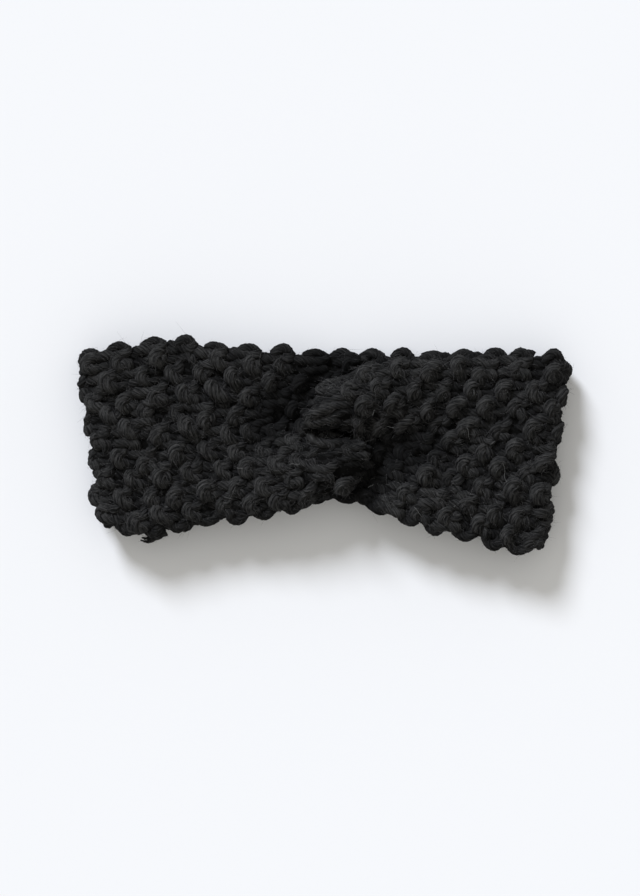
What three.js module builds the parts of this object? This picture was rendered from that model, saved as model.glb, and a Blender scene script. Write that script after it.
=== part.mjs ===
// A chunky knitted ear warmer headband, laid flat as two layers with an interlocked twist at the front centre.
// Millimetres, +X along the length, +Y across the band, +Z up. It rests on the underside of its back layer at z = 0.
import * as THREE from "three";
import { mergeVertices } from "three/addons/utils/BufferGeometryUtils.js";

// Driving sizes
const LENGTH = 247; // flat length of the loop, end fold to end fold
const DEPTH = 109; // flat size across the band, over the arch it lies in
const FABRIC = 9; // thickness of the relaxed knit
const ROW_PAIRS = 32; // pairs of knitted rows round the strip, one edge bead each
const BEAD = 1.3; // how far the edge beads stand out of the selvedge
const YARN = 4.6; // thickness of the yarn

// Sizes that follow
const HALF_LENGTH = LENGTH / 2;
const HALF_DEPTH = DEPTH / 2;
const BACK_HEIGHT = FABRIC / 2; // mid surface of the back layer
const FRONT_HEIGHT = FABRIC * 2.22; // mid surface of the front layer near the end folds
const FOLD_RADIUS = (FRONT_HEIGHT - BACK_HEIGHT) / 2;
const FOLD_HEIGHT = (FRONT_HEIGHT + BACK_HEIGHT) / 2;

// The eight lines that run along the strip, as shares of its half width: 1 is the top edge and -1 the bottom edge.
const LINES = [1, 0.7, 0.38, 0.12, -0.12, -0.38, -0.7, -1];

// Sections through the twist, a column per line. Along is a share of HALF_LENGTH, across of HALF_DEPTH,
// height and thick of FABRIC. Heights are those of the middle of the knit.
const LEFT_TWIST = [
  {
    section: "left end",
    along: [0.142, 0.109, 0.053, -0.008, 0.031, 0.168, 0.130, 0.065],
    across: [0.844, 0.670, 0.477, 0.286, 0.086, -0.015, -0.266, -0.450],
    height: [1.511, 1.511, 1.511, 1.567, 2.633, 2.689, 2.378, 2.267],
    thick: 0.66,
  },
  {
    section: "left tuck",
    along: [0.109, 0.081, 0.032, -0.024, 0.004, 0.093, 0.065, 0.024],
    across: [0.851, 0.666, 0.468, 0.275, 0.081, -0.018, -0.284, -0.472],
    height: [1.533, 1.511, 1.511, 1.578, 2.544, 3.044, 2.922, 2.333],
    thick: 0.66,
  },
  {
    section: "left lobe",
    along: [0.057, 0.036, -0.004, -0.049, -0.032, 0.004, -0.012, -0.024],
    across: [0.859, 0.661, 0.450, 0.266, 0.092, -0.083, -0.312, -0.501],
    height: [1.611, 1.533, 1.511, 1.622, 2.356, 3.033, 2.978, 2.311],
    thick: 0.7,
  },
  {
    section: "left crossing",
    along: [-0.049, -0.057, -0.073, -0.089, -0.085, -0.077, -0.077, -0.081],
    across: [0.870, 0.661, 0.422, 0.229, 0.073, -0.092, -0.330, -0.550],
    height: [1.922, 1.756, 1.556, 1.622, 2.111, 2.733, 2.811, 2.222],
    thick: 0.8,
  },
  {
    section: "left valley",
    along: [-0.186, -0.194, -0.202, -0.211, -0.211, -0.206, -0.202, -0.202],
    across: [0.895, 0.668, 0.424, 0.226, 0.042, -0.156, -0.400, -0.628],
    height: [2.111, 2.056, 1.811, 1.700, 1.944, 2.444, 2.611, 2.200],
    thick: 0.94,
  },
  {
    section: "left shoulder",
    along: [-0.381, -0.379, -0.377, -0.372, -0.368, -0.364, -0.360, -0.356],
    across: [0.927, 0.683, 0.424, 0.213, 0.017, -0.194, -0.453, -0.697],
    height: [2.222, 2.256, 2.167, 2.067, 2.089, 2.244, 2.311, 2.178],
    thick: 1.0,
  },
];
const RIGHT_TWIST = [
  {
    section: "right shoulder",
    along: [0.486, 0.482, 0.478, 0.474, 0.470, 0.466, 0.462, 0.453],
    across: [0.831, 0.587, 0.328, 0.117, -0.079, -0.290, -0.549, -0.793],
    height: [2.256, 2.367, 2.222, 2.000, 1.922, 2.089, 2.256, 2.222],
    thick: 1.0,
  },
  {
    section: "right valley",
    along: [0.332, 0.316, 0.304, 0.300, 0.300, 0.304, 0.308, 0.312],
    across: [0.807, 0.596, 0.339, 0.147, -0.018, -0.220, -0.477, -0.697],
    height: [2.333, 2.667, 2.556, 1.944, 1.667, 1.922, 2.222, 2.178],
    thick: 0.94,
  },
  {
    section: "right crossing",
    along: [0.211, 0.186, 0.174, 0.186, 0.206, 0.194, 0.182, 0.178],
    across: [0.752, 0.569, 0.339, 0.156, 0.018, -0.183, -0.394, -0.560],
    height: [2.333, 2.867, 2.889, 2.200, 1.644, 1.556, 1.700, 1.889],
    thick: 0.8,
  },
  {
    section: "right lobe",
    along: [0.113, 0.097, 0.093, 0.146, 0.168, 0.121, 0.093, 0.097],
    across: [0.675, 0.523, 0.321, 0.147, -0.028, -0.211, -0.376, -0.495],
    height: [2.311, 2.978, 3.033, 2.356, 1.622, 1.511, 1.533, 1.644],
    thick: 0.7,
  },
  {
    section: "right tuck",
    along: [0.061, 0.028, 0.012, 0.116, 0.144, 0.087, 0.040, 0.045],
    across: [0.596, 0.468, 0.250, 0.158, -0.037, -0.229, -0.358, -0.477],
    height: [2.256, 2.922, 3.100, 2.544, 1.578, 1.511, 1.511, 1.533],
    thick: 0.66,
  },
  {
    section: "right end",
    along: [0.020, -0.029, -0.067, 0.089, 0.128, 0.067, 0.011, 0.008],
    across: [0.523, 0.394, 0.194, 0.152, -0.048, -0.239, -0.358, -0.468],
    height: [2.111, 2.467, 2.811, 2.633, 1.567, 1.511, 1.511, 1.511],
    thick: 0.66,
  },
];

// Straight sections: the position of the top and bottom edges, shares of HALF_LENGTH and HALF_DEPTH.
const FRONT_LEFT = [
  { section: "left flat", topAlong: -0.623, bottomAlong: -0.591, topAcross: 0.994, bottomAcross: -0.761 },
  { section: "left end", topAlong: -0.818, bottomAlong: -0.729, topAcross: 0.936, bottomAcross: -0.817 },
];
const BACK = [
  { section: "left end", topAlong: -0.818, bottomAlong: -0.729, topAcross: 0.899, bottomAcross: -0.78 },
  { section: "left half", topAlong: -0.405, bottomAlong: -0.389, topAcross: 0.872, bottomAcross: -0.67 },
  { section: "centre", topAlong: 0.065, bottomAlong: 0.065, topAcross: 0.859, bottomAcross: -0.45 },
  { section: "right half", topAlong: 0.502, bottomAlong: 0.47, topAcross: 0.881, bottomAcross: -0.752 },
  { section: "right end", topAlong: 0.81, bottomAlong: 0.737, topAcross: 0.872, bottomAcross: -0.917 },
];
const FRONT_RIGHT = [
  { section: "right end", topAlong: 0.81, bottomAlong: 0.737, topAcross: 0.859, bottomAcross: -0.98 },
  { section: "right flat", topAlong: 0.648, bottomAlong: 0.615, topAcross: 0.839, bottomAcross: -0.881 },
];

// The end folds: turn is the angle from the front layer (0) round to the back layer (180). The axis slants.
const LEFT_FOLD = { side: -1, topAxis: -0.901, bottomAxis: -0.806 };
const LEFT_TURNS = [
  { turn: 0, topAcross: 0.899, bottomAcross: -0.789 },
  { turn: 45, topAcross: 0.872, bottomAcross: -0.771 },
  { turn: 90, topAcross: 0.835, bottomAcross: -0.743 },
  { turn: 135, topAcross: 0.853, bottomAcross: -0.761 },
  { turn: 180, topAcross: 0.881, bottomAcross: -0.78 },
];
const RIGHT_FOLD = { side: 1, topAxis: 0.903, bottomAxis: 0.804 };
const RIGHT_TURNS = [
  { turn: 180, topAcross: 0.853, bottomAcross: -0.936 },
  { turn: 135, topAcross: 0.826, bottomAcross: -0.936 },
  { turn: 90, topAcross: 0.798, bottomAcross: -0.927 },
  { turn: 45, topAcross: 0.835, bottomAcross: -0.954 },
  { turn: 0, topAcross: 0.862, bottomAcross: -1 },
];

// The seam's cord through the twist, one row per bend: shares of HALF_LENGTH, HALF_DEPTH and FABRIC.
const SEAM_PATH = [
  { along: 0.098, across: 0.56, height: 1.5 },
  { along: 0.036, across: 0.3, height: 1.5 },
  { along: 0.05, across: 0.16, height: 1.5 },
  { along: 0.084, across: 0.05, height: 1.5 },
  { along: 0.082, across: -0.07, height: 1.5 },
  { along: 0.025, across: -0.273, height: 1.5 },
];
const SEAM_THICKNESS = 3.2;

// The cut yarn end at the lower left edge, from its root to its tip: shares of HALF_LENGTH, HALF_DEPTH and
// FABRIC.
const TAIL_PATH = [
  { along: -0.652, across: -0.824, height: 1.92 },
  { along: -0.687, across: -0.845, height: 1.9 },
  { along: -0.719, across: -0.862, height: 1.87 },
  { along: -0.743, across: -0.877, height: 1.85 },
];

// Rounding of the strip
const EDGE_ROUND = 0.1; // share of the half width over which the edges round off
const END_ROUND = 4; // length over which the two ends thin out
const END_THICKNESS = 0.2; // share of the thickness left at the two ends
const RING = [1, 0.97, 0.9, 0.6, 0.38, 0.14, -0.14, -0.38, -0.6, -0.9, -0.97, -1];
const STEPS_PER_PAIR = 5;

const lerp = (from, to, share) => from + (to - from) * share;

/** A section whose lines lie evenly between its two edges, at one height. */
function straightSection(row, height, shift = 0) {
  return {
    points: LINES.map((line) => {
      const share = (line + 1) / 2;
      return [
        lerp(row.bottomAlong, row.topAlong, share) * HALF_LENGTH + shift,
        lerp(row.bottomAcross, row.topAcross, share) * HALF_DEPTH,
        height,
      ];
    }),
    thick: FABRIC,
  };
}

/** The sections of one end fold, an arc about its slanted axis. */
function foldSections(fold, turns) {
  return turns.map((row) => {
    const turn = THREE.MathUtils.degToRad(row.turn);
    const edges = { ...row, topAlong: fold.topAxis, bottomAlong: fold.bottomAxis };
    const height = FOLD_HEIGHT + FOLD_RADIUS * Math.cos(turn);
    return straightSection(edges, height, fold.side * FOLD_RADIUS * Math.sin(turn));
  });
}

/** A section of the twist, read from its table row. */
function twistSection(row) {
  return {
    points: LINES.map((_, line) => [
      row.along[line] * HALF_LENGTH,
      row.across[line] * HALF_DEPTH,
      row.height[line] * FABRIC,
    ]),
    thick: row.thick * FABRIC,
  };
}

const SECTIONS = [
  ...LEFT_TWIST.map(twistSection),
  ...FRONT_LEFT.map((row) => straightSection(row, FRONT_HEIGHT)),
  ...foldSections(LEFT_FOLD, LEFT_TURNS),
  ...BACK.map((row) => straightSection(row, BACK_HEIGHT)),
  ...foldSections(RIGHT_FOLD, RIGHT_TURNS),
  ...FRONT_RIGHT.map((row) => straightSection(row, FRONT_HEIGHT)),
  ...RIGHT_TWIST.map(twistSection),
];

/** Mean distance between two neighbouring sections. */
function sectionStep(from, to) {
  const total = from.points.reduce((sum, point, line) => {
    const other = to.points[line];
    return sum + Math.hypot(other[0] - point[0], other[1] - point[1], other[2] - point[2]);
  }, 0);
  return total / LINES.length;
}

const KNOTS = [0];
for (let index = 1; index < SECTIONS.length; index += 1) {
  KNOTS.push(KNOTS[index - 1] + sectionStep(SECTIONS[index - 1], SECTIONS[index]));
}
const STRIP_LENGTH = KNOTS[KNOTS.length - 1];

/** Slopes of a curve that never swings past its own points, so flat stretches stay flat. */
function monotoneSlopes(places, values) {
  const widths = places.slice(1).map((place, index) => place - places[index]);
  const rises = widths.map((width, index) => (values[index + 1] - values[index]) / width);
  return values.map((_, index) => {
    if (index === 0) return rises[0];
    if (index === values.length - 1) return rises[rises.length - 1];
    const before = rises[index - 1];
    const after = rises[index];
    if (before * after <= 0) return 0;
    const beforeWeight = 2 * widths[index] + widths[index - 1];
    const afterWeight = widths[index] + 2 * widths[index - 1];
    return (beforeWeight + afterWeight) / (beforeWeight / before + afterWeight / after);
  });
}

/** Slopes of a soft curve through its points. */
function softSlopes(places, values) {
  const widths = places.slice(1).map((place, index) => place - places[index]);
  const rises = widths.map((width, index) => (values[index + 1] - values[index]) / width);
  return values.map((_, index) => {
    if (index === 0) return rises[0];
    if (index === values.length - 1) return rises[rises.length - 1];
    const span = widths[index - 1] + widths[index];
    return (rises[index - 1] * widths[index] + rises[index] * widths[index - 1]) / span;
  });
}

/** Value at a place on the cubic through the given points and slopes. */
function cubicAt(places, values, slopes, place) {
  let span = 0;
  while (span < places.length - 2 && place > places[span + 1]) span += 1;
  const width = places[span + 1] - places[span];
  const share = (place - places[span]) / width;
  const squared = share * share;
  const cubed = squared * share;
  return (
    (2 * cubed - 3 * squared + 1) * values[span] +
    (cubed - 2 * squared + share) * width * slopes[span] +
    (3 * squared - 2 * cubed) * values[span + 1] +
    (cubed - squared) * width * slopes[span + 1]
  );
}

const AXES = [0, 1, 2];
const LINE_VALUES = LINES.map((_, line) => AXES.map((axis) => SECTIONS.map(({ points }) => points[line][axis])));
const LINE_SLOPES = LINE_VALUES.map((axes) => axes.map((values) => monotoneSlopes(KNOTS, values)));
const THICK_VALUES = SECTIONS.map(({ thick }) => thick);
const THICK_SLOPES = monotoneSlopes(KNOTS, THICK_VALUES);
const LINE_PLACES = LINES.map((line) => -line);

/** Point of the middle of the knit, at a length along the strip and a share of its half width. */
function middlePoint(length, width) {
  const coordinates = AXES.map((axis) => {
    const across = LINES.map((_, line) => cubicAt(KNOTS, LINE_VALUES[line][axis], LINE_SLOPES[line][axis], length));
    return cubicAt(LINE_PLACES, across, softSlopes(LINE_PLACES, across), -width);
  });
  return new THREE.Vector3(...coordinates);
}

/** Direction through the knit at a point, into the hollow of the loop. */
function inwardNormal(length, width) {
  const lengthStep = 0.1;
  const widthStep = 0.01;
  const along = middlePoint(Math.min(length + lengthStep, STRIP_LENGTH), width).sub(
    middlePoint(Math.max(length - lengthStep, 0), width),
  );
  const across = middlePoint(length, Math.min(width + widthStep, 1)).sub(
    middlePoint(length, Math.max(width - widthStep, -1)),
  );
  return along.cross(across).normalize();
}

/** Half thickness of the knit, less where the edges and the two ends round off. */
function halfThickness(length, width) {
  const relaxed = cubicAt(KNOTS, THICK_VALUES, THICK_SLOPES, length) / 2;
  const edge = Math.max((Math.abs(width) - (1 - EDGE_ROUND)) / EDGE_ROUND, 0);
  const toEnd = Math.min(length, STRIP_LENGTH - length);
  const end = Math.max(1 - toEnd / END_ROUND, 0);
  const endShare = Math.max(Math.sqrt(Math.max(1 - end * end, 0)), END_THICKNESS);
  return relaxed * Math.sqrt(Math.max(1 - edge * edge, 0)) * endShare;
}

/** Share of the half width left by the edge beads at a length along the strip. */
function beadShare(length) {
  const bead = Math.abs(Math.sin((Math.PI * length * ROW_PAIRS) / STRIP_LENGTH));
  return 1 - (BEAD / (HALF_DEPTH * 0.84)) * (1 - Math.sqrt(bead));
}

/** One closed solid of the whole strip. */
function stripGeometry() {
  const count = ROW_PAIRS * STEPS_PER_PAIR;
  const even = Array.from({ length: count + 1 }, (_, index) => (index * STRIP_LENGTH) / count);
  const extra = [END_ROUND * 0.12, END_ROUND * 0.4];
  const lengths = [...even, ...extra, ...extra.map((step) => STRIP_LENGTH - step)].sort((a, b) => a - b);
  const positions = [];
  const inner = RING.slice(1, -1);
  lengths.forEach((length) => {
    const share = beadShare(length);
    const place = (line, side) => {
      const width = line * share;
      const middle = middlePoint(length, width);
      const reach = side * halfThickness(length, line);
      return middle.addScaledVector(inwardNormal(length, width), reach);
    };
    positions.push(place(RING[0], 0));
    inner.forEach((line) => positions.push(place(line, -1)));
    positions.push(place(RING[RING.length - 1], 0));
    [...inner].reverse().forEach((line) => positions.push(place(line, 1)));
  });
  const ring = 2 * RING.length - 2;
  const faces = [];
  for (let row = 0; row < lengths.length - 1; row += 1) {
    for (let step = 0; step < ring; step += 1) {
      const next = (step + 1) % ring;
      const near = row * ring;
      const far = near + ring;
      faces.push(near + step, far + next, near + next);
      faces.push(near + step, far + step, far + next);
    }
  }
  const capEnd = (start, reversed) => {
    for (let step = 0; step < RING.length - 1; step += 1) {
      const outer = start + step;
      const outerNext = start + step + 1;
      const inside = start + ((ring - step) % ring);
      const insideNext = start + ring - step - 1;
      const pair = [
        [outer, insideNext, outerNext],
        [outer, inside, insideNext],
      ];
      pair
        .filter((face) => new Set(face).size === 3)
        .forEach(([a, b, c]) => faces.push(...(reversed ? [a, c, b] : [a, b, c])));
    }
  };
  capEnd(0, true);
  capEnd((lengths.length - 1) * ring, false);
  const geometry = new THREE.BufferGeometry();
  geometry.setAttribute(
    "position",
    new THREE.Float32BufferAttribute(positions.flatMap((point) => point.toArray()), 3),
  );
  geometry.setIndex(faces);
  geometry.computeVertexNormals();
  return geometry;
}

/** A round cord through the rows of a path table. */
function cordGeometry(path, thickness, steps) {
  const points = path.map(
    (row) => new THREE.Vector3(row.along * HALF_LENGTH, row.across * HALF_DEPTH, row.height * FABRIC),
  );
  const profile = new THREE.Shape();
  profile.absarc(0, 0, thickness / 2, 0, 2 * Math.PI, false);
  const tube = new THREE.ExtrudeGeometry(profile, {
    extrudePath: new THREE.CatmullRomCurve3(points),
    steps,
    curveSegments: 6,
    bevelEnabled: false,
  });
  tube.deleteAttribute("normal");
  tube.deleteAttribute("uv");
  const closed = mergeVertices(tube, 1e-4);
  closed.computeVertexNormals();
  return closed;
}

/** A named mesh with a knitted yarn finish. */
function piece(name, geometry, colour) {
  const material = new THREE.MeshStandardMaterial({ color: colour, roughness: 0.95, metalness: 0 });
  const mesh = new THREE.Mesh(geometry, material);
  mesh.name = name;
  return mesh;
}

const headband = new THREE.Group();
headband.name = "ear_warmer_headband";
headband.add(piece("knit_strip", stripGeometry(), 0x1b1b1d));
headband.add(piece("centre_seam", cordGeometry(SEAM_PATH, SEAM_THICKNESS, 24), 0x1a1a1c));
headband.add(piece("yarn_end", cordGeometry(TAIL_PATH, YARN, 12), 0x1c1c1e));

export default headband;
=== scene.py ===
"""Looks of a chunky seed-stitch ear warmer headband, knitted yarn by yarn over the shape of the CAD strip."""
import logging
import math
from dataclasses import dataclass, field
from enum import Enum

import bmesh
import bpy
import numpy as np
from mathutils import Euler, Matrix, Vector


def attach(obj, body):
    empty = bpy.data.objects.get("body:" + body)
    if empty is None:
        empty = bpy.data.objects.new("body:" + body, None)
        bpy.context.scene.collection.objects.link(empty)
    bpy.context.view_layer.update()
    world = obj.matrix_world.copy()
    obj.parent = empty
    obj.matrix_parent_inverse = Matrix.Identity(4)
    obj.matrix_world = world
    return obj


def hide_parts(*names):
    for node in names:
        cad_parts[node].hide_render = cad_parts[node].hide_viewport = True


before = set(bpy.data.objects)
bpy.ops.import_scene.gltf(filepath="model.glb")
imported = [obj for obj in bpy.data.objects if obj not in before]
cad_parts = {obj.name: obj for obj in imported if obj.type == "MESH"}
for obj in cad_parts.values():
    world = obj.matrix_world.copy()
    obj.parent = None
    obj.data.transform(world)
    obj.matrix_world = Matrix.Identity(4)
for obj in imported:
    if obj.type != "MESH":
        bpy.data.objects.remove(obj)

LOG = logging.getLogger("headband")
Array = np.ndarray

# Half the flat loop's length and depth, and the knit's thickness. The tables of sections are shares of them.
HALF_LENGTH = 0.1235
HALF_DEPTH = 0.0545
FABRIC = 0.009
# The lines along the strip, as shares of its half width from the top edge down.
LINES = np.array([1.0, 0.7, 0.38, 0.12, -0.12, -0.38, -0.7, -1.0])
# Points nearer to each other than this become one.
WELD = 1e-6


class Side(Enum):
    """An end of the flat loop, as the sign of its direction along it."""

    LEFT = -1
    RIGHT = 1


@dataclass(frozen=True)
class TwistRow:
    """A section through the twist: a value per line, along, across and height as shares of the sizes."""

    along: tuple[float, ...]
    across: tuple[float, ...]
    height: tuple[float, ...]
    thick: float

    def points(self) -> Array:
        """Places the section.

        Returns:
            The eight points of the section in metres.
        """
        return np.stack([np.array(self.along) * HALF_LENGTH,
                         np.array(self.across) * HALF_DEPTH,
                         np.array(self.height) * FABRIC], axis=1)


@dataclass(frozen=True)
class StraightRow:
    """A section whose lines lie evenly between its two edges."""

    top_along: float
    bottom_along: float
    top_across: float
    bottom_across: float

    def points(self, height: float, shift: float = 0.0) -> Array:
        """Places the section.

        Args:
            height: Height of the middle of the knit.
            shift: How far the section is moved along the band.

        Returns:
            The eight points of the section in metres.
        """
        share = (LINES + 1) / 2
        along = self.bottom_along + (self.top_along - self.bottom_along) * share
        across = self.bottom_across + (self.top_across - self.bottom_across) * share
        return np.stack([along * HALF_LENGTH + shift,
                         across * HALF_DEPTH,
                         np.full(len(LINES), height)], axis=1)


LEFT_TWIST = (
    # left end
    TwistRow((0.142, 0.109, 0.053, -0.008, 0.031, 0.168, 0.130, 0.065),
             (0.844, 0.670, 0.477, 0.286, 0.086, -0.015, -0.266, -0.450),
             (1.511, 1.511, 1.511, 1.567, 2.633, 2.689, 2.378, 2.267), 0.66),
    # left tuck
    TwistRow((0.109, 0.081, 0.032, -0.024, 0.004, 0.093, 0.065, 0.024),
             (0.851, 0.666, 0.468, 0.275, 0.081, -0.018, -0.284, -0.472),
             (1.533, 1.511, 1.511, 1.578, 2.544, 3.044, 2.922, 2.333), 0.66),
    # left lobe
    TwistRow((0.057, 0.036, -0.004, -0.049, -0.032, 0.004, -0.012, -0.024),
             (0.859, 0.661, 0.450, 0.266, 0.092, -0.083, -0.312, -0.501),
             (1.611, 1.533, 1.511, 1.622, 2.356, 3.033, 2.978, 2.311), 0.7),
    # left crossing
    TwistRow((-0.049, -0.057, -0.073, -0.089, -0.085, -0.077, -0.077, -0.081),
             (0.870, 0.661, 0.422, 0.229, 0.073, -0.092, -0.330, -0.550),
             (1.922, 1.756, 1.556, 1.622, 2.111, 2.733, 2.811, 2.222), 0.8),
    # left valley
    TwistRow((-0.186, -0.194, -0.202, -0.211, -0.211, -0.206, -0.202, -0.202),
             (0.895, 0.668, 0.424, 0.226, 0.042, -0.156, -0.400, -0.628),
             (2.111, 2.056, 1.811, 1.700, 1.944, 2.444, 2.611, 2.200), 0.94),
    # left shoulder
    TwistRow((-0.381, -0.379, -0.377, -0.372, -0.368, -0.364, -0.360, -0.356),
             (0.927, 0.683, 0.424, 0.213, 0.017, -0.194, -0.453, -0.697),
             (2.222, 2.256, 2.167, 2.067, 2.089, 2.244, 2.311, 2.178), 1.0),
)
RIGHT_TWIST = (
    # right shoulder
    TwistRow((0.486, 0.482, 0.478, 0.474, 0.470, 0.466, 0.462, 0.453),
             (0.831, 0.587, 0.328, 0.117, -0.079, -0.290, -0.549, -0.793),
             (2.256, 2.367, 2.222, 2.000, 1.922, 2.089, 2.256, 2.222), 1.0),
    # right valley
    TwistRow((0.332, 0.316, 0.304, 0.300, 0.300, 0.304, 0.308, 0.312),
             (0.807, 0.596, 0.339, 0.147, -0.018, -0.220, -0.477, -0.697),
             (2.333, 2.667, 2.556, 1.944, 1.667, 1.922, 2.222, 2.178), 0.94),
    # right crossing
    TwistRow((0.211, 0.186, 0.174, 0.186, 0.206, 0.194, 0.182, 0.178),
             (0.752, 0.569, 0.339, 0.156, 0.018, -0.183, -0.394, -0.560),
             (2.333, 2.867, 2.889, 2.200, 1.644, 1.556, 1.700, 1.889), 0.8),
    # right lobe
    TwistRow((0.113, 0.097, 0.093, 0.146, 0.168, 0.121, 0.093, 0.097),
             (0.675, 0.523, 0.321, 0.147, -0.028, -0.211, -0.376, -0.495),
             (2.311, 2.978, 3.033, 2.356, 1.622, 1.511, 1.533, 1.644), 0.7),
    # right tuck
    TwistRow((0.061, 0.028, 0.012, 0.116, 0.144, 0.087, 0.040, 0.045),
             (0.596, 0.468, 0.250, 0.158, -0.037, -0.229, -0.358, -0.477),
             (2.256, 2.922, 3.100, 2.544, 1.578, 1.511, 1.511, 1.533), 0.66),
    # right end
    TwistRow((0.020, -0.029, -0.067, 0.089, 0.128, 0.067, 0.011, 0.008),
             (0.523, 0.394, 0.194, 0.152, -0.048, -0.239, -0.358, -0.468),
             (2.111, 2.467, 2.811, 2.633, 1.567, 1.511, 1.511, 1.511), 0.66),
)
FRONT_LEFT = (
    StraightRow(-0.623, -0.591, 0.994, -0.761),  # left flat
    StraightRow(-0.818, -0.729, 0.936, -0.817),  # left end
)
BACK = (
    StraightRow(-0.818, -0.729, 0.899, -0.78),  # left end
    StraightRow(-0.405, -0.389, 0.872, -0.67),  # left half
    StraightRow(0.065, 0.065, 0.859, -0.45),  # centre
    StraightRow(0.502, 0.47, 0.881, -0.752),  # right half
    StraightRow(0.81, 0.737, 0.872, -0.917),  # right end
)
FRONT_RIGHT = (
    StraightRow(0.81, 0.737, 0.859, -0.98),  # right end
    StraightRow(0.648, 0.615, 0.839, -0.881),  # right flat
)


@dataclass(frozen=True)
class FoldTurn:
    """One section of an end fold: its angle round from the front layer and its two edges."""

    turn: float
    top_across: float
    bottom_across: float


@dataclass(frozen=True)
class EndFold:
    """The fold at one end of the flat loop, an arc about a slanted axis."""

    side: Side
    top_axis: float
    bottom_axis: float
    turns: tuple[FoldTurn, ...]

    def sections(self, front: float, back: float) -> list[Array]:
        """Places the sections of the fold.

        Args:
            front: Height of the middle of the front layer.
            back: Height of the middle of the back layer.

        Returns:
            Eight points per section, in metres.
        """
        radius = (front - back) / 2
        placed = []
        for turn in self.turns:
            angle = math.radians(turn.turn)
            row = StraightRow(self.top_axis, self.bottom_axis, turn.top_across, turn.bottom_across)
            placed.append(row.points((front + back) / 2 + radius * math.cos(angle),
                                     self.side.value * radius * math.sin(angle)))
        return placed


LEFT_FOLD = EndFold(Side.LEFT, -0.921, -0.812, (
    FoldTurn(0, 0.899, -0.789),
    FoldTurn(45, 0.872, -0.771),
    FoldTurn(90, 0.835, -0.743),
    FoldTurn(135, 0.853, -0.761),
    FoldTurn(180, 0.881, -0.78),
))
RIGHT_FOLD = EndFold(Side.RIGHT, 0.903, 0.804, (
    FoldTurn(180, 0.853, -0.936),
    FoldTurn(135, 0.826, -0.936),
    FoldTurn(90, 0.798, -0.927),
    FoldTurn(45, 0.835, -0.954),
    FoldTurn(0, 0.862, -1.0),
))


def monotone_slopes(places: Array, values: Array) -> Array:
    """Slopes of a curve that never swings past its own points.

    Args:
        places: Increasing places of the points.
        values: Values at the places, first axis along them.

    Returns:
        The slope at each place.
    """
    widths = np.diff(places).reshape(-1, *([1] * (values.ndim - 1)))
    rises = np.diff(values, axis=0) / widths
    slopes = np.zeros_like(values)
    first = 2 * widths[1:] + widths[:-1]
    second = widths[1:] + 2 * widths[:-1]
    same = rises[1:] * rises[:-1] > 0
    with np.errstate(divide="ignore", invalid="ignore"):
        mean = (first + second) / (first / rises[:-1] + second / rises[1:])
    slopes[1:-1] = np.where(same, mean, 0)
    slopes[0] = rises[0]
    slopes[-1] = rises[-1]
    return slopes


def cubic(share: Array, step: Array, ends: tuple[Array, Array], slopes: tuple[Array, Array]) -> Array:
    """The cubic between two values that has a given slope at each.

    Args:
        share: Places between the two values, 0 to 1.
        step: Distance between the two values.
        ends: The two values.
        slopes: The slopes at them.

    Returns:
        One value per place.
    """
    squared = share * share
    cubed = squared * share
    return ((2 * cubed - 3 * squared + 1) * ends[0] + (cubed - 2 * squared + share) * step * slopes[0]
            + (3 * squared - 2 * cubed) * ends[1] + (cubed - squared) * step * slopes[1])


def cubic_at(places: Array, values: Array, slopes: Array, where: Array) -> Array:
    """Values at some places on the cubic through points and slopes.

    Args:
        places: Increasing places of the points.
        values: Values at the places.
        slopes: Slopes at the places.
        where: The places asked for.

    Returns:
        One value per asked place.
    """
    span = np.clip(np.searchsorted(places, where, side="right") - 1, 0, len(places) - 2)
    width = (places[span + 1] - places[span]).reshape(-1, *([1] * (values.ndim - 1)))
    share = (where - places[span]).reshape(width.shape) / width
    return cubic(share, width, (values[span], values[span + 1]), (slopes[span], slopes[span + 1]))


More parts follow.
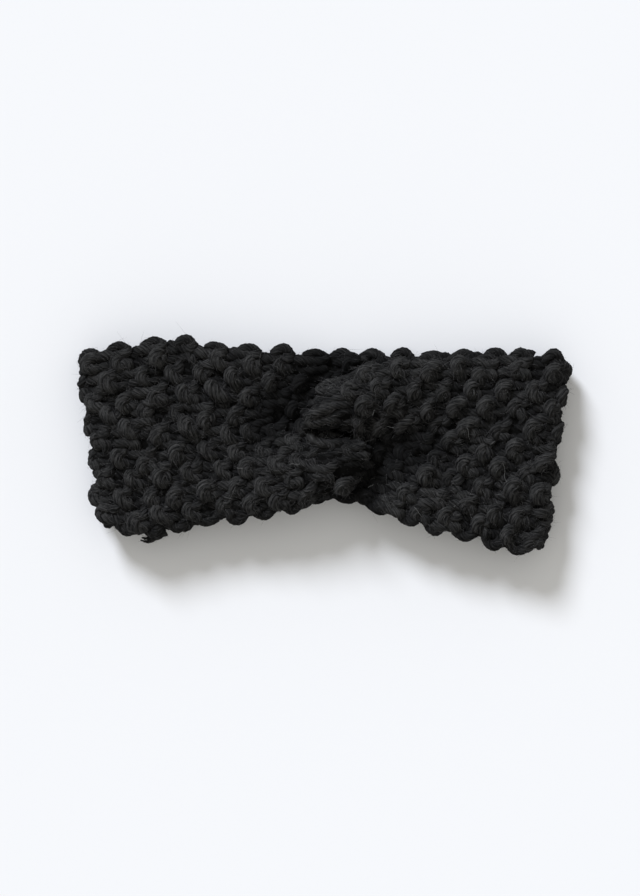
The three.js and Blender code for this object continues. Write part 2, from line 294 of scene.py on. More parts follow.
@dataclass
class StripShape:
    """The middle of the knit as a surface: a length along the strip and a share of its half width.

    swing deepens the rise and fall of the twist. dives, dive_floor and creep shape the two tucked ends of the
    strip.
    """

    front_height: float = 2.22 * FABRIC
    back_height: float = FABRIC / 2
    swing: float = 1.25
    dives: tuple[float, ...] = (0.004, 0.01)
    dive_floor: float = 0.0125
    creep: float = 0.0015
    knots: Array = field(init=False)
    net: Array = field(init=False)
    slopes: Array = field(init=False)
    thick: Array = field(init=False)

    def __post_init__(self) -> None:
        """Gathers the sections in order along the strip."""
        left = [self.swung(row) for row in LEFT_TWIST]
        right = [self.swung(row) for row in RIGHT_TWIST]
        sections = self.tuck(left[0], left[1])[::-1] + left
        sections += [row.points(self.front_height) for row in FRONT_LEFT]
        sections += LEFT_FOLD.sections(self.front_height, self.back_height)
        sections += [row.points(self.back_height) for row in BACK]
        sections += RIGHT_FOLD.sections(self.front_height, self.back_height)
        sections += [row.points(self.front_height) for row in FRONT_RIGHT]
        sections += right + self.tuck(right[-1], right[-2])
        self.net = np.array(sections)
        past = len(self.dives)
        flat = len(sections) - len(left) - len(right) - 2 * past
        self.thick = np.array([LEFT_TWIST[0].thick] * past + [row.thick for row in LEFT_TWIST] + [1.0] * flat
                              + [row.thick for row in RIGHT_TWIST] + [RIGHT_TWIST[-1].thick] * past) * FABRIC
        steps = np.linalg.norm(np.diff(self.net, axis=0), axis=2).mean(axis=1)
        self.knots = np.concatenate([[0.0], np.cumsum(steps)])
        self.slopes = monotone_slopes(self.knots, self.net)

    def swung(self, row: TwistRow) -> Array:
        """Draws the rise and fall of a section deeper, as loose yarn settles.

        Args:
            row: A section through the twist.

        Returns:
            Its eight points in metres.
        """
        points = row.points()
        points[:, 2] = self.front_height + (points[:, 2] - self.front_height) * self.swing
        return points

    def tuck(self, end: Array, before: Array) -> list[Array]:
        """Sections past an end of the strip, which dives into the twist there.

        Args:
            end: The last section of the strip.
            before: The section next to it.

        Returns:
            The sections in order from the end.
        """
        ahead = end - before
        ahead /= np.linalg.norm(ahead, axis=1)[:, None]
        sections = []
        for count, dive in enumerate(self.dives, 1):
            section = end + ahead * self.creep * count
            section[:, 2] = np.maximum(end[:, 2] - dive, np.minimum(end[:, 2], self.dive_floor))
            sections.append(section)
        return sections

    @property
    def length(self) -> float:
        """Length of the whole strip."""
        return float(self.knots[-1])

    def thickness(self, length: Array) -> Array:
        """Thickness of the knit at lengths along the strip."""
        return cubic_at(self.knots, self.thick, monotone_slopes(self.knots, self.thick), length)

    def point(self, length: Array, width: Array) -> Array:
        """Points of the middle of the knit.

        Args:
            length: Lengths along the strip.
            width: Shares of the half width, 1 at the top edge. Past an edge the surface goes on straight.

        Returns:
            One point per pair.
        """
        ring = cubic_at(self.knots, self.net, self.slopes, length)
        places = -LINES
        widths = np.diff(places)
        rises = np.diff(ring, axis=1) / widths[None, :, None]
        slopes = np.empty_like(ring)
        before = widths[:-1][None, :, None]
        after = widths[1:][None, :, None]
        slopes[:, 1:-1] = (rises[:, :-1] * after + rises[:, 1:] * before) / (before + after)
        slopes[:, 0] = rises[:, 0]
        slopes[:, -1] = rises[:, -1]
        held = np.clip(width, -1, 1)
        span = np.clip(np.searchsorted(places, -held, side="right") - 1, 0, len(places) - 2)
        each = np.arange(len(length))
        share = ((-held - places[span]) / widths[span])[:, None]
        inside = cubic(share, widths[span][:, None], (ring[each, span], ring[each, span + 1]),
                       (slopes[each, span], slopes[each, span + 1]))
        beyond = (held - width)[:, None]
        outward = np.where(width[:, None] > 0, slopes[:, 0], slopes[:, -1])
        return inside + beyond * outward

    def outward(self, length: Array, width: Array) -> Array:
        """Directions through the knit, out of the loop's hollow.

        Args:
            length: Lengths along the strip.
            width: Shares of the half width.

        Returns:
            One unit vector per pair.
        """
        reach = 0.0012
        lean = 0.02
        held = np.clip(width, -1 + lean, 1 - lean)
        along = (self.point(np.clip(length + reach, 0, self.length), held)
                 - self.point(np.clip(length - reach, 0, self.length), held))
        across = self.point(length, held + lean) - self.point(length, held - lean)
        normal = np.cross(across, along)
        return normal / np.linalg.norm(normal, axis=1)[:, None]


@dataclass
class Strand:
    """The middle line of one yarn: its points, their relative thickness and how open each lies, 0 to 1, which
    sets the painted shade on its hidden parts and where its loose fibres grow.
    """

    points: Array
    radii: Array
    shade_openness: Array


@dataclass(frozen=True)
class Yarn:
    """A plied yarn: its thickness, its plies and how tightly they turn."""

    thickness: float = 0.0062
    plies: int = 4
    ply_depth: float = 0.18
    points_per_ply: int = 4
    turn_length: float = 0.019
    ply_round: float = 0.75

    def profile(self) -> bpy.types.Object:
        """Draws the cross section of the yarn, a ring of rounded plies.

        Returns:
            A flat curve to sweep along the strands.
        """
        sides = self.plies * self.points_per_ply
        data = bpy.data.curves.new("yarn_profile", "CURVE")
        data.dimensions = "2D"
        ring = data.splines.new("POLY")
        ring.points.add(sides - 1)
        for index, point in enumerate(ring.points):
            angle = 2 * math.pi * index / sides
            ply = abs(math.cos(angle * self.plies / 2)) ** self.ply_round
            radius = self.thickness / 2 * (1 - self.ply_depth * (1 - ply))
            point.co = (radius * math.cos(angle), radius * math.sin(angle), 0, 1)
        ring.use_cyclic_u = True
        return add_object("yarn_profile", data)

    def spin(self, name: str, strands: list[Strand]) -> bpy.types.Object:
        """Sweeps the yarn along its strands.

        Args:
            name: Name of the piece.
            strands: The middle lines.

        Returns:
            The mesh piece, closed at each end of each strand.
        """
        profile = self.profile()
        data = bpy.data.curves.new(name, "CURVE")
        data.dimensions = "3D"
        data.twist_mode = "MINIMUM"
        data.bevel_mode = "OBJECT"
        data.bevel_object = profile
        data.use_fill_caps = True
        for strand in strands:
            spline = data.splines.new("POLY")
            spline.points.add(len(strand.points) - 1)
            places = np.hstack([strand.points, np.ones((len(strand.points), 1))])
            spline.points.foreach_set("co", places.ravel())
            spline.points.foreach_set("radius", strand.radii)
            steps = np.linalg.norm(np.diff(strand.points, axis=0), axis=1)
            turns = np.concatenate([[0.0], np.cumsum(steps)]) / self.turn_length
            spline.points.foreach_set("tilt", turns % 1 * 2 * math.pi)
        piece = to_mesh(name, data)
        drop(profile)
        self.unroll(piece.data, strands)
        close_up(piece.data)
        return piece

    def unroll(self, mesh: bpy.types.Mesh, strands: list[Strand]) -> None:
        """Lays the UV map out with X once round the yarn and Y along it, and keeps how open each ring lies as
        the attribute that the material paints as shade.

        Args:
            mesh: The swept mesh, whose own map runs along the yarn in X and round it in Y.
            strands: The strands it was swept along.
        """
        layer = mesh.uv_layers[0]
        layer.name = "yarn"
        flat = np.empty(len(mesh.loops) * 2)
        layer.data.foreach_get("uv", flat)
        along, around = flat.reshape(-1, 2).T
        longest = max(np.linalg.norm(np.diff(strand.points, axis=0), axis=1).sum() for strand in strands)
        unrolled = np.stack([around, along * longest / (math.pi * self.thickness)], axis=1)
        layer.data.foreach_set("uv", unrolled.ravel())
        sides = self.plies * self.points_per_ply
        shown = [np.concatenate([np.repeat(strand.shade_openness[[0, -1]], sides), np.repeat(strand.shade_openness, sides)])
                 for strand in strands]
        mesh.attributes.new("shade_openness", "FLOAT", "POINT").data.foreach_set("value", np.concatenate(shown))


@dataclass
class SeedStitch:
    """The seed stitch: rows across the band whose loops lie in front and behind by turns.

    Places along are counted in rows and across in stitches. reach and neck shape a loop, relief is its height
    and turn_out its bulge at the edge. The wander values make stitches differ, and slant leans them by their
    place in the strip. swell and bloom change the yarn's thickness. thin_relief and thin_yarn are the shares
    of relief and thickness that stay where the knit gets thin. The lifts also paint shade on the yarn,
    darkest on the loops behind. The valley values paint more shade on the yarn where the front dips beside
    the twist.
    """

    shape: StripShape
    yarn: Yarn
    rows: int = 66
    stitches: int = 9
    steps: int = 28
    turn_steps: int = 6
    reach: float = 0.85
    neck: float = 0.16
    relief: float = 0.0027
    edge_share: float = 0.93
    turn_out: float = 0.2
    turn_wander: float = 0.35
    wander: float = 0.17
    rise_wander: float = 2.0
    slant: float = 0.3
    swell: float = 0.08
    bloom: float = 0.1
    thin_relief: float = 0.4
    thin_yarn: float = 0.5
    valley_start: float = 0.001
    valley_depth: float = 0.0038
    valley_reach: float = 0.075
    painted_valley_shade: float = 0.85
    seed: int = 7
    lift_angles: tuple[float, ...] = (0, 37, 74, 110, 146, 180)
    lifts: tuple[float, ...] = (0, -0.5, -0.25, -0.1, 0.8, 1)

    def lift(self, angle: Array) -> Array:
        """Height of the loop of one stitch.

        Args:
            angle: Angles round the loop.

        Returns:
            A height per angle, from -1 behind to 1 in front.
        """
        places = np.radians(np.array(self.lift_angles, float))
        values = np.array(self.lifts, float)
        folded = np.where(angle > np.pi, 2 * np.pi - angle, angle)
        return cubic_at(places, values, monotone_slopes(places, values), folded)

    def row_path(self, row: int, rng: np.random.Generator) -> tuple[Array, Array, Array]:
        """One knitted row and its turn to the next row.

        Args:
            row: Number of the row.
            rng: Source of the small differences between stitches.

        Returns:
            Across in stitches, along in rows, and lift from -1 to 1.
        """
        across, along, lift = [], [], []
        lean = self.slant * (2 * row / self.rows - 1) * (-1 if row % 2 == 0 else 1)
        for step in range(self.stitches):
            place = step if row % 2 == 0 else self.stitches - 1 - step
            front = 1 if (row + place) % 2 == 0 else -1
            angle = np.arange(self.steps) / self.steps * 2 * np.pi
            inside = np.sin(angle / 2)
            slide, stretch, rise, turned = rng.normal(0, self.wander, 4)
            across.append(step + angle / (2 * np.pi) + self.neck * np.sin(2 * angle) + slide * inside)
            along.append(row + 0.5 - self.reach * np.cos(angle) + stretch * inside
                         + (lean + turned) * np.sin(angle) * inside)
            lift.append(front * self.lift(angle) + self.rise_wander * rise * inside)
        turn = np.arange(self.turn_steps) / self.turn_steps
        bulge = self.turn_out * (1 + rng.normal(0, self.turn_wander))
        across.append(self.stitches + bulge * np.sin(np.pi * turn))
        along.append(row + 0.5 - self.reach + turn)
        lift.append(np.zeros(self.turn_steps))
        walked = np.concatenate(across)
        if row % 2:
            walked = self.stitches - walked
        return walked, np.concatenate(along), np.concatenate(lift)

    def strand(self, first: int, last: int) -> Strand:
        """The yarn of a run of rows, laid over the strip.

        Args:
            first: First row of the run.
            last: Row after the run's last.

        Returns:
            The yarn's middle line.
        """
        paths = [self.row_path(row, np.random.default_rng([self.seed, row])) for row in range(first, last)]
        across, along, lift = (np.concatenate([path[axis] for path in paths]) for axis in range(3))
        spare = self.reach - 0.5
        length = np.clip((along + spare) / (self.rows + 2 * spare), 0, 1) * self.shape.length
        width = self.edge_share * (1 - 2 * across / self.stitches)
        share = self.shape.thickness(length) / FABRIC
        middle = self.shape.point(length, width)
        depth = lift * self.relief * (self.thin_relief + (1 - self.thin_relief) * share)
        points = middle + self.shape.outward(length, width) * depth[:, None]
        knots = np.arange(0, len(across) + self.steps, self.steps)
        swells = np.random.default_rng([self.seed, first, last]).normal(0, self.swell, len(knots))
        swell = np.interp(np.arange(len(across)), knots, swells)
        fullness = self.thin_yarn + (1 - self.thin_yarn) * share
        radii = fullness * (1 + swell) * (1 + self.bloom * (2 * np.abs(lift) - 1))
        points[:, 2] = np.maximum(points[:, 2], self.yarn.thickness / 2 * radii)
        # Painted shade: the yarn is coloured darker on the loops behind and where the front sinks beside the
        # twist.
        below = self.shape.front_height - self.valley_start - middle[:, 2]
        valley_shade_mask = np.clip(below / self.valley_depth, 0, 1)
        valley_shade_mask[(np.abs(middle[:, 0]) > self.valley_reach) | (middle[:, 2] < FABRIC)] = 0
        shade_openness = np.clip(0.5 + 0.5 * lift, 0, 1) * (1 - self.painted_valley_shade * valley_shade_mask)
        return Strand(points, radii, shade_openness)


@dataclass
class Fuzz:
    """Loose fibre ends that stand out of the yarn, each with a root, a bend and a tip.

    root_share is how far out in the yarn the roots lie. lean, outward, onward and stray set the directions,
    and lowest_root and lowest_tip keep the fibres off the floor.
    """

    count: int
    seed: int
    shortest: float = 0.0012
    longest: float = 0.0048
    width: float = 0.0001
    root_share: float = 0.85
    lowest_root: float = 0.0025
    lowest_tip: float = 0.0006
    lean: float = 0.9
    onward: float = 1.1
    outward: tuple[float, float] = (0.7, 0.35)
    stray: float = 0.5
    reach: float = 0.45
    taper: tuple[float, float, float] = (1.0, 0.8, 0.3)

    def comb(self, name: str, strands: list[Strand], yarn: Yarn) -> bpy.types.Object:
        """Grows the fibres of some strands.

        Args:
            name: Name of the piece.
            strands: The yarn that they grow on.
            yarn: The kind of yarn.

        Returns:
            The mesh piece.
        """
        rng = np.random.default_rng(self.seed)
        data = bpy.data.curves.new(name, "CURVE")
        data.dimensions = "3D"
        profile = Yarn(self.width, plies=3, ply_depth=0.0, points_per_ply=1).profile()
        data.bevel_mode = "OBJECT"
        data.bevel_object = profile
        data.use_fill_caps = True
        points = np.concatenate([strand.points[1:-1] for strand in strands])
        tangents = np.concatenate([strand.points[2:] - strand.points[:-2] for strand in strands])
        tangents /= np.linalg.norm(tangents, axis=1)[:, None]
        radii = np.concatenate([strand.radii[1:-1] for strand in strands]) * yarn.thickness / 2
        shade_openness = np.concatenate([strand.shade_openness[1:-1] for strand in strands])
        for index in rng.choice(len(points), self.count, p=shade_openness / shade_openness.sum()):
            out = np.cross(tangents[index], rng.normal(size=3))
            out /= np.linalg.norm(out)
            root = points[index] + out * radii[index] * self.root_share
            if root[2] < self.lowest_root:
                continue
            length = self.shortest + (self.longest - self.shortest) * rng.random() ** 2
            lean = tangents[index] * rng.normal(0, self.lean)
            bend = root + (out * self.outward[0] + lean) * length * self.reach
            stray = rng.normal(0, self.stray, 3)
            tip = bend + (out * self.outward[1] + lean * self.onward + stray) * length * self.reach
            if min(bend[2], tip[2]) < self.lowest_tip:
                continue
            spline = data.splines.new("POLY")
            spline.points.add(2)
            spline.points.foreach_set("co", [*root, 1, *bend, 1, *tip, 1])
            spline.points.foreach_set("radius", self.taper)
        piece = to_mesh(name, data)
        drop(profile)
        close_up(piece.data)
        return piece


@dataclass(frozen=True)
class YarnFinish:
    """Matt black yarn with a soft bloom of fibre, painted shade on its hidden parts and a painted highlight
    on its ply crests.
    """

    name: str
    # dark is the yarn's dark fibre colour and also the colour of the painted shade on its hidden parts.
    dark: tuple[float, float, float] = (0.0035, 0.0035, 0.0036)
    light: tuple[float, float, float] = (0.068, 0.0671, 0.0654)
    roughness: float = 0.92
    sheen: float = 0.03
    sheen_roughness: float = 0.45
    sheen_tint: tuple[float, float, float] = (0.5, 0.5, 0.52)
    gloss: float = 0.03
    bump: float = 0.0005

    def material(self) -> bpy.types.Material:
        """Builds the material with fibres that follow the yarn's UV map, and with painted shade and a painted
        crest highlight in its colour.

        Returns:
            The material.
        """
        made = bpy.data.materials.new(self.name)
        made.use_nodes = True
        nodes = made.node_tree.nodes
        links = made.node_tree.links
        shader = nodes["Principled BSDF"]
        shader.inputs["Roughness"].default_value = self.roughness
        shader.inputs["Sheen Weight"].default_value = self.sheen
        shader.inputs["Sheen Roughness"].default_value = self.sheen_roughness
        shader.inputs["Sheen Tint"].default_value = (*self.sheen_tint, 1)
        shader.inputs["Specular IOR Level"].default_value = self.gloss
        fibres = nodes.new("ShaderNodeGroup")
        fibres.node_tree = YarnFibres().group()
        ramp = nodes.new("ShaderNodeMix")
        ramp.data_type = "RGBA"
        ramp.inputs["A"].default_value = (*self.dark, 1)
        ramp.inputs["B"].default_value = (*self.light, 1)
        links.new(fibres.outputs["Tone"], ramp.inputs["Factor"])
        links.new(ramp.outputs["Result"], shader.inputs["Base Color"])
        relief = nodes.new("ShaderNodeBump")
        relief.inputs["Strength"].default_value = 1.0
        relief.inputs["Distance"].default_value = self.bump
        links.new(fibres.outputs["Height"], relief.inputs["Height"])
        links.new(relief.outputs["Normal"], shader.inputs["Normal"])
        return made


@dataclass(frozen=True)
class YarnFibres:
    """The fibres of a yarn: streaks along its plies and patches of tone, with painted shade where the yarn
    lies hidden and a painted highlight on its ply crests.
    """

    around: float = 8.0
    along: float = 6.5
    plies: float = 8.0
    streak_detail: float = 3.0
    streak_roughness: float = 0.6
    streak_share: float = 0.8
    patch_scale: float = 420.0
    patch_detail: float = 4.0
    patch_share: float = 0.2
    # Painted highlight on the ply crests and painted shade in the grooves, as a share of tone; the next field
    # is the crests' real bump.
    painted_crest_light: float = 0.03
    crest_height: float = 0.22
    tones: tuple[float, float] = (0.4, 0.72)
    # The next two fields set the painted shade on hidden yarn: the openness over which it fades out and the
    # tone left where it is darkest.
    openness: tuple[float, float] = (0.15, 1.0)
    painted_hidden_shade: float = 0.22

    def group(self) -> bpy.types.NodeTree:
        """Builds the node group once, with a tone and a height that follow the yarn's UV map. The tone holds
        painted shade and a painted crest highlight.

        Returns:
            The node group.
        """
        name = "yarn_fibres"
        if name in bpy.data.node_groups:
            return bpy.data.node_groups[name]
        group = bpy.data.node_groups.new(name, "ShaderNodeTree")
        titles = {"Fibres Around": self.around, "Fibres Along": self.along, "Plies": self.plies}
        for title, value in titles.items():
            socket = group.interface.new_socket(title, in_out="INPUT", socket_type="NodeSocketFloat")
            socket.default_value = value
        group.interface.new_socket("Tone", in_out="OUTPUT", socket_type="NodeSocketFloat")
        group.interface.new_socket("Height", in_out="OUTPUT", socket_type="NodeSocketFloat")
        nodes = group.nodes
        links = group.links
        given = nodes.new("NodeGroupInput")
        result = nodes.new("NodeGroupOutput")
        uv = nodes.new("ShaderNodeUVMap")
        uv.uv_map = "yarn"
        parts = nodes.new("ShaderNodeSeparateXYZ")
        links.new(uv.outputs["UV"], parts.inputs["Vector"])
        turn = maths(group, "MULTIPLY", parts.outputs["X"], 2 * math.pi)
        around = given.outputs["Fibres Around"]
        along = given.outputs["Fibres Along"]
        place = nodes.new("ShaderNodeCombineXYZ")
        links.new(maths(group, "MULTIPLY", maths(group, "COSINE", turn), around), place.inputs["X"])
        links.new(maths(group, "MULTIPLY", maths(group, "SINE", turn), around), place.inputs["Y"])
        links.new(maths(group, "MULTIPLY", parts.outputs["Y"], along), place.inputs["Z"])
        streaks = nodes.new("ShaderNodeTexNoise")
        streaks.inputs["Scale"].default_value = 1.0
        streaks.inputs["Detail"].default_value = self.streak_detail
        streaks.inputs["Roughness"].default_value = self.streak_roughness
        links.new(place.outputs["Vector"], streaks.inputs["Vector"])
        where = nodes.new("ShaderNodeTexCoord")
        patches = nodes.new("ShaderNodeTexNoise")
        patches.inputs["Scale"].default_value = self.patch_scale
        patches.inputs["Detail"].default_value = self.patch_detail
        links.new(where.outputs["Object"], patches.inputs["Vector"])
        crest = maths(group, "COSINE", maths(group, "MULTIPLY", turn, given.outputs["Plies"]))
        mixed = maths(group, "ADD",
                      maths(group, "MULTIPLY", streaks.outputs["Fac"], self.streak_share),
                      maths(group, "MULTIPLY", patches.outputs["Fac"], self.patch_share))
        spread = nodes.new("ShaderNodeMapRange")
        spread.inputs["From Min"].default_value = self.tones[0]
        spread.inputs["From Max"].default_value = self.tones[1]
        # Painted highlight on the ply crests and painted shade in the grooves between them.
        tone_with_crest_light = maths(group, "ADD", mixed, maths(group, "MULTIPLY", crest, self.painted_crest_light))
        links.new(tone_with_crest_light, spread.inputs["Value"])
        # Painted shade: the tone is darkened where the yarn lies hidden or sunk, by its openness attribute.
        shade_openness = nodes.new("ShaderNodeAttribute")
        shade_openness.attribute_name = "shade_openness"
        openness_shade = nodes.new("ShaderNodeMapRange")
        openness_shade.interpolation_type = "SMOOTHSTEP"
        openness_shade.inputs["From Min"].default_value = self.openness[0]
        openness_shade.inputs["From Max"].default_value = self.openness[1]
        openness_shade.inputs["To Min"].default_value = self.painted_hidden_shade
        links.new(shade_openness.outputs["Fac"], openness_shade.inputs["Value"])
        tone = maths(group, "MULTIPLY", spread.outputs["Result"], openness_shade.outputs["Result"])
        links.new(tone, result.inputs["Tone"])
        height = maths(group, "ADD", mixed, maths(group, "MULTIPLY", crest, self.crest_height))
        links.new(height, result.inputs["Height"])
        return group


def maths(group: bpy.types.NodeTree, operation: str, first: bpy.types.NodeSocket,
          second: bpy.types.NodeSocket | float | None = None) -> bpy.types.NodeSocket:
    """Adds one maths node to a group.

    Args:
        group: The node group.
        operation: What the node does.
        first: Its first value.
        second: Its second value, a socket or a number, where it takes one.

    Returns:
        The socket with the result.
    """
    node = group.nodes.new("ShaderNodeMath")
    node.operation = operation
    group.links.new(first, node.inputs[0])
    if isinstance(second, bpy.types.NodeSocket):
        group.links.new(second, node.inputs[1])
    elif second is not None:
        node.inputs[1].default_value = second
    return node.outputs["Value"]


@dataclass(frozen=True)
class FeltFinish:
    """Matted or loose fibres, plain and dark."""

    name: str
    colour: tuple[float, float, float] = (0.0042, 0.0041, 0.0039)
    roughness: float = 1.0
    gloss: float = 0.02
    grain: float = 1600.0
    bump: float = 0.0003

    def material(self) -> bpy.types.Material:
        """Builds the material with a fine felted relief.

        Returns:
            The material.
        """
        made = bpy.data.materials.new(self.name)
        made.use_nodes = True
        nodes = made.node_tree.nodes
        links = made.node_tree.links
        shader = nodes["Principled BSDF"]
        shader.inputs["Base Color"].default_value = (*self.colour, 1)
        shader.inputs["Roughness"].default_value = self.roughness
        shader.inputs["Specular IOR Level"].default_value = self.gloss
        where = nodes.new("ShaderNodeTexCoord")
        felt = nodes.new("ShaderNodeTexNoise")
        felt.inputs["Scale"].default_value = self.grain
        relief = nodes.new("ShaderNodeBump")
        relief.inputs["Distance"].default_value = self.bump
        links.new(where.outputs["Object"], felt.inputs["Vector"])
        links.new(felt.outputs["Fac"], relief.inputs["Height"])
        links.new(relief.outputs["Normal"], shader.inputs["Normal"])
        return made


MATTED_GROUND = FeltFinish("knit_ground")
LOOSE_FIBRE = FeltFinish("loose_fibre", (0.12, 0.118, 0.116))
PALE_LINT = FeltFinish("pale_lint", (0.16, 0.16, 0.155))
TAIL_FIBRE = FeltFinish("tail_fibre", (0.03, 0.0296, 0.0308))


def add_object(name: str, data: bpy.types.ID) -> bpy.types.Object:
    """Puts data into the scene as an object at the origin.

    Args:
        name: Name of the object.
        data: Its mesh, curve, light or camera.

    Returns:
        The object.
    """
    made = bpy.data.objects.new(name, data)
    bpy.context.scene.collection.objects.link(made)
    return made


def drop(made: bpy.types.Object) -> None:
    """Takes a helper object out of the file."""
    bpy.data.objects.remove(made, do_unlink=True)


def to_mesh(name: str, curve: bpy.types.Curve) -> bpy.types.Object:
    """Turns a swept curve into a mesh piece.

    Args:
        name: Name of the piece.
        curve: The curve with its bevel.

    Returns:
        The mesh object.
    """
    swept = add_object(name + "_curve", curve)
    bpy.context.view_layer.update()
    graph = bpy.context.evaluated_depsgraph_get()
    mesh = bpy.data.meshes.new_from_object(swept.evaluated_get(graph), depsgraph=graph)
    mesh.name = name
    mesh.shade_smooth()
    drop(swept)
    return add_object(name, mesh)


def close_up(mesh: bpy.types.Mesh) -> None:
    """Joins the caps of a swept mesh to its walls and turns all its faces outwards.

    Args:
        mesh: The mesh, which is changed.
    """
    form = bmesh.new()
    form.from_mesh(mesh)
    bmesh.ops.remove_doubles(form, verts=form.verts, dist=WELD)
    bmesh.ops.recalc_face_normals(form, faces=form.faces)
    form.to_mesh(mesh)
    form.free()


@dataclass
class KnittedStrip:
    """The knitted band: the yarn in seed stitch, its loose fibres and the dense ground between its loops."""

    shape: StripShape
    yarn: Yarn = Yarn()
    runs: tuple[tuple[str, int, int, int], ...] = (
        ("knit_front_left", 0, 18, 9000),
        ("knit_back_left", 18, 33, 4500),
        ("knit_back_right", 33, 48, 4500),
        ("knit_front_right", 48, 66, 9000),
    )
    fuzz_seed: int = 3
    ground_thickness: float = 0.002
    ground_rows: int = 190
    ground_lines: int = 22
    ground_inset: float = 0.004
    ground_width: float = 0.93

    def build(self) -> None:
        """Knits the band and dresses it."""
        stitch = SeedStitch(self.shape, self.yarn)
        finish = YarnFinish("black_yarn").material()
        loose = LOOSE_FIBRE.material()
        strands = []
        for name, first, last, fibres in self.runs:
            strand = stitch.strand(first, last)
            strands.append(strand)
            piece = self.yarn.spin(name, [strand])
            self.dress(piece, finish)
            fuzz = Fuzz(count=fibres, seed=first + self.fuzz_seed)
            self.dress(fuzz.comb(name.replace("knit", "fuzz"), [strand], self.yarn), loose)
        self.dress(Lint().lay("pale_lint", strands), PALE_LINT.material())
        self.ground()

    def dress(self, piece: bpy.types.Object, finish: bpy.types.Material) -> None:
        """Gives a piece its finish and ties it to the strip.

        Args:
            piece: The mesh piece.
            finish: Its material.
        """
        piece.data.materials.clear()
        piece.data.materials.append(finish)
        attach(piece, "root")
        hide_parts("knit_strip")
        LOG.info("%s: %d faces", piece.name, len(piece.data.polygons))

    def ground(self) -> None:
        """The dense middle of the knit, a closed cloth folded as the strip is."""
        mesh = bpy.data.meshes.new("knit_ground")
        form = bmesh.new()
        bmesh.ops.create_grid(form, x_segments=self.ground_rows, y_segments=self.ground_lines, size=1)
        form.verts.ensure_lookup_table()
        flat = np.array([vertex.co[:2] for vertex in form.verts])
        length = (flat[:, 0] + 1) / 2 * (self.shape.length - 2 * self.ground_inset) + self.ground_inset
        width = flat[:, 1] * self.ground_width
        for vertex, place in zip(form.verts, self.shape.point(length, width)):
            vertex.co = place
        bmesh.ops.recalc_face_normals(form, faces=form.faces)
        form.to_mesh(mesh)
        form.free()
        piece = add_object("knit_ground", mesh)
        thick = piece.modifiers.new("thickness", "SOLIDIFY")
        thick.thickness = self.ground_thickness
        thick.offset = 0
        graph = bpy.context.evaluated_depsgraph_get()
        piece.data = bpy.data.meshes.new_from_object(piece.evaluated_get(graph), depsgraph=graph)
        piece.modifiers.clear()
        piece.data.shade_smooth()
        self.dress(piece, MATTED_GROUND.material())


@dataclass(frozen=True)
class Lint:
    """Pale hairs caught on the knit: place along and across, length and heading of each."""

    hairs: tuple[tuple[float, float, float, float], ...] = (
        (0.0238, 0.0164, 0.0030, 80), (0.0322, 0.0094, 0.0035, -20), (0.0709, 0.0060, 0.0062, 85),
        (0.0828, 0.0015, 0.0030, 60), (0.0888, -0.0134, 0.0090, 75), (0.0461, -0.0327, 0.0065, -60),
        (0.0228, -0.0198, 0.0030, 5), (0.0640, -0.0298, 0.0012, 30), (-0.0150, -0.0090, 0.0050, -35),
        (-0.0420, -0.0110, 0.0030, 20),
    )
    width: float = 0.00015
    above: float = 0.0034
    points: int = 6
    stray: float = 0.3
    bend: float = 4.0
    seed: int = 31

    def lay(self, name: str, strands: list[Strand]) -> bpy.types.Object:
        """Lays the hairs on the yarn.

        Args:
            name: Name of the piece.
            strands: The yarn that they lie on.

        Returns:
            The mesh piece.
        """
        rng = np.random.default_rng(self.seed)
        data = bpy.data.curves.new(name, "CURVE")
        data.dimensions = "3D"
        data.bevel_depth = self.width / 2
        data.bevel_resolution = 0
        data.use_fill_caps = True
        under = np.concatenate([strand.points for strand in strands])
        share = np.linspace(-0.5, 0.5, self.points)
        for along, across, length, heading in self.hairs:
            angle = math.radians(heading) + rng.normal(0, self.stray) * np.abs(share) * self.bend
            places = np.stack([along + length * share * np.cos(angle),
                               across + length * share * np.sin(angle)], axis=1)
            heights = [under[np.hypot(*(under[:, :2] - place).T) < self.above, 2].max() for place in places]
            line = np.column_stack([places, np.array(heights) + self.above, np.ones(self.points)])
            spline = data.splines.new("POLY")
            spline.points.add(self.points - 1)
            spline.points.foreach_set("co", line.ravel())
        piece = to_mesh(name, data)
        close_up(piece.data)
        return piece


@dataclass
class CentreSeam:
    """The sewing yarn that holds the two ends of the strip inside the twist."""

    yarn: Yarn = Yarn(thickness=0.0032, plies=3, points_per_ply=5, turn_length=0.013)
    path: tuple[tuple[float, float, float], ...] = (
        (0.098, 0.56, 1.5), (0.036, 0.3, 1.5), (0.05, 0.16, 1.5),
        (0.084, 0.05, 1.5), (0.082, -0.07, 1.5), (0.025, -0.273, 1.5),
    )
    points: int = 60

    def build(self) -> None:
        """Lays the sewing yarn along the join."""
        piece = self.yarn.spin("sewn_join", [cord_strand(self.path, self.points)])
        piece.data.materials.clear()
        piece.data.materials.append(YarnFinish("sewing_yarn").material())
        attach(piece, "root")
        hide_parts("centre_seam")
        LOG.info("sewn_join: %d faces", len(piece.data.polygons))


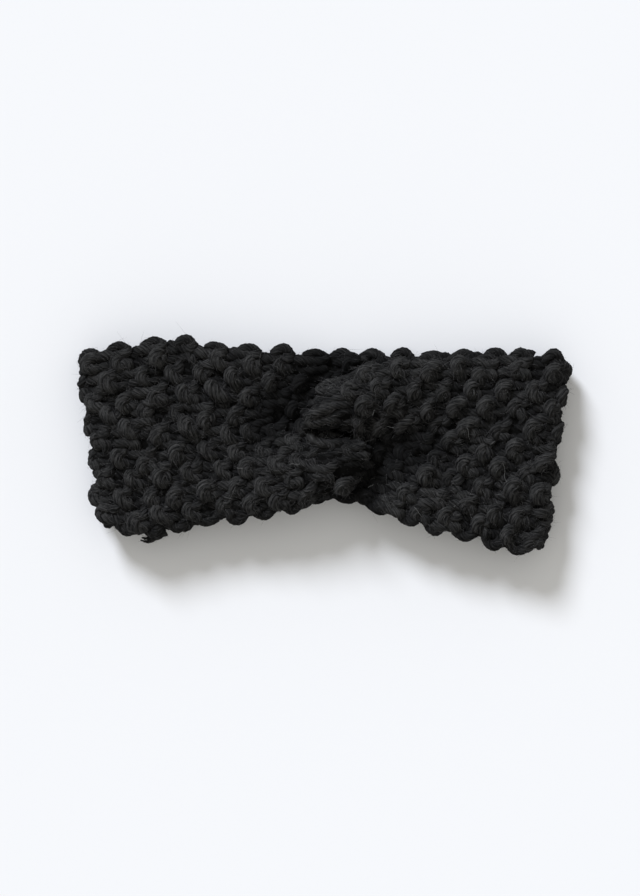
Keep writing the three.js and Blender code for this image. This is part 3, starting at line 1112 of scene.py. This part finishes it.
@dataclass
class YarnEnd:
    """The cut end of the yarn at the lower left edge, its plies opening at the tip."""

    yarn: Yarn = Yarn(thickness=0.0021, plies=2, points_per_ply=6, turn_length=0.008)
    path: tuple[tuple[float, float, float], ...] = (
        (-0.64, -0.785, 1.92), (-0.675, -0.822, 1.9), (-0.707, -0.85, 1.87), (-0.743, -0.868, 1.85),
    )
    points: int = 40
    plies: int = 4
    turns: float = 0.8
    spread: float = 0.001
    fray: float = 0.0007
    fray_from: float = 0.62
    fray_curve: float = 1.5
    taper: float = 0.3
    thinnest: float = 0.45
    shorter: int = 3
    fibres: int = 110
    longest_fibre: float = 0.0036
    fibre_seed: int = 5

    def build(self) -> None:
        """Lays the plies round each other and opens them at the tip."""
        core = cord_strand(self.path, self.points)
        share = np.linspace(0, 1, len(core.points))
        along = np.gradient(core.points, axis=0)
        along /= np.linalg.norm(along, axis=1)[:, None]
        side = np.cross(along, np.array([0.0, 0.0, 1.0]))
        side /= np.linalg.norm(side, axis=1)[:, None]
        rise = np.cross(side, along)
        strands = []
        for ply in range(self.plies):
            turn = 2 * np.pi * (ply / self.plies + share * self.turns)
            opened = np.clip((share - self.fray_from) / (1 - self.fray_from), 0, 1)
            out = self.spread + self.fray * opened ** self.fray_curve
            round_it = side * np.cos(turn)[:, None] + rise * np.sin(turn)[:, None]
            last = len(share) - self.shorter * ply
            radii = np.clip((last - np.arange(last)) / (self.taper * last), self.thinnest, 1)
            strands.append(Strand((core.points + round_it * out[:, None])[:last], radii, np.ones(last)))
        piece = self.yarn.spin("cut_yarn_end", strands)
        piece.data.materials.clear()
        piece.data.materials.append(YarnFinish("tail_yarn").material())
        loose = Fuzz(count=self.fibres, longest=self.longest_fibre, seed=self.fibre_seed)
        fuzz = loose.comb("cut_yarn_fuzz", strands, self.yarn)
        fuzz.data.materials.append(TAIL_FIBRE.material())
        for made in (piece, fuzz):
            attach(made, "root")
            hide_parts("yarn_end")
            LOG.info("%s: %d faces", made.name, len(made.data.polygons))


def cord_strand(path: tuple[tuple[float, float, float], ...], count: int) -> Strand:
    """A smooth strand through the rows of a path.

    Args:
        path: Along, across and height as shares of the sizes.
        count: How many points it gets.

    Returns:
        The strand.
    """
    rows = np.array(path) * np.array([HALF_LENGTH, HALF_DEPTH, FABRIC])
    places = np.concatenate([[0.0], np.cumsum(np.linalg.norm(np.diff(rows, axis=0), axis=1))])
    slopes = np.gradient(rows, places, axis=0)
    where = np.linspace(0, places[-1], count)
    return Strand(cubic_at(places, rows, slopes, where), np.ones(count), np.ones(count))


@dataclass
class Studio:
    """Pale floor, soft light from the upper left and the camera straight above."""

    view_centre: tuple[float, float] = (-0.0025, -0.001)
    view_height: float = 0.4444
    view_level: float = 0.02
    camera_height: float = 1.5
    floor_size: float = 8.0
    sensor_width: float = 36
    floor_colour: tuple[float, float, float] = (0.85, 0.85, 0.85)
    floor_roughness: float = 0.9
    floor_gloss: float = 0.1
    light_from: tuple[float, float, float] = (-0.5, 0.88, 0.7)
    light_spread: float = 18.0
    light_strength: float = 3.36
    light_colour: tuple[float, float, float] = (0.862, 0.904, 1.0)
    sky_colour: tuple[float, float, float] = (1.0, 0.99, 0.955)
    sky_strength: float = 0.57

    def build(self) -> None:
        """Sets the floor, the lights and the camera."""
        self.floor()
        self.lights()
        self.camera()

    def floor(self) -> None:
        """The pale surface that the headband lies on."""
        mesh = bpy.data.meshes.new("floor")
        form = bmesh.new()
        bmesh.ops.create_grid(form, x_segments=1, y_segments=1, size=self.floor_size / 2)
        form.to_mesh(mesh)
        form.free()
        made = bpy.data.materials.new("floor")
        made.use_nodes = True
        shader = made.node_tree.nodes["Principled BSDF"]
        shader.inputs["Base Color"].default_value = (*self.floor_colour, 1)
        shader.inputs["Roughness"].default_value = self.floor_roughness
        shader.inputs["Specular IOR Level"].default_value = self.floor_gloss
        mesh.materials.append(made)
        add_object("floor", mesh)

    def lights(self) -> None:
        """One broad light from the upper left and an even sky."""
        light = bpy.data.lights.new("window", "SUN")
        light.angle = math.radians(self.light_spread)
        light.energy = self.light_strength
        light.color = self.light_colour
        lamp = add_object("window", light)
        lamp.rotation_euler = (-Vector(self.light_from)).to_track_quat("-Z", "Y").to_euler()
        world = bpy.data.worlds.new("studio")
        bpy.context.scene.world = world
        world.use_nodes = True
        sky = world.node_tree.nodes["Background"]
        sky.inputs["Color"].default_value = (*self.sky_colour, 1)
        sky.inputs["Strength"].default_value = self.sky_strength
        bpy.context.scene.view_settings.view_transform = "Standard"

    def camera(self) -> None:
        """The camera of the photograph, straight above."""
        data = bpy.data.cameras.new("camera")
        data.sensor_width = self.sensor_width
        data.lens = data.sensor_width * self.camera_height / self.view_height
        eye = add_object("camera", data)
        eye.location = (*self.view_centre, self.camera_height + self.view_level)
        eye.rotation_euler = Euler((0, 0, 0))
        bpy.context.scene.camera = eye


def main() -> None:
    """Builds the headband and its studio."""
    logging.basicConfig(level=logging.INFO, format="%(name)s: %(message)s")
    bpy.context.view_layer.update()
    Studio().build()
    KnittedStrip(StripShape()).build()
    CentreSeam().build()
    YarnEnd().build()
    bpy.context.view_layer.update()


if __name__ == "__main__":
    main()
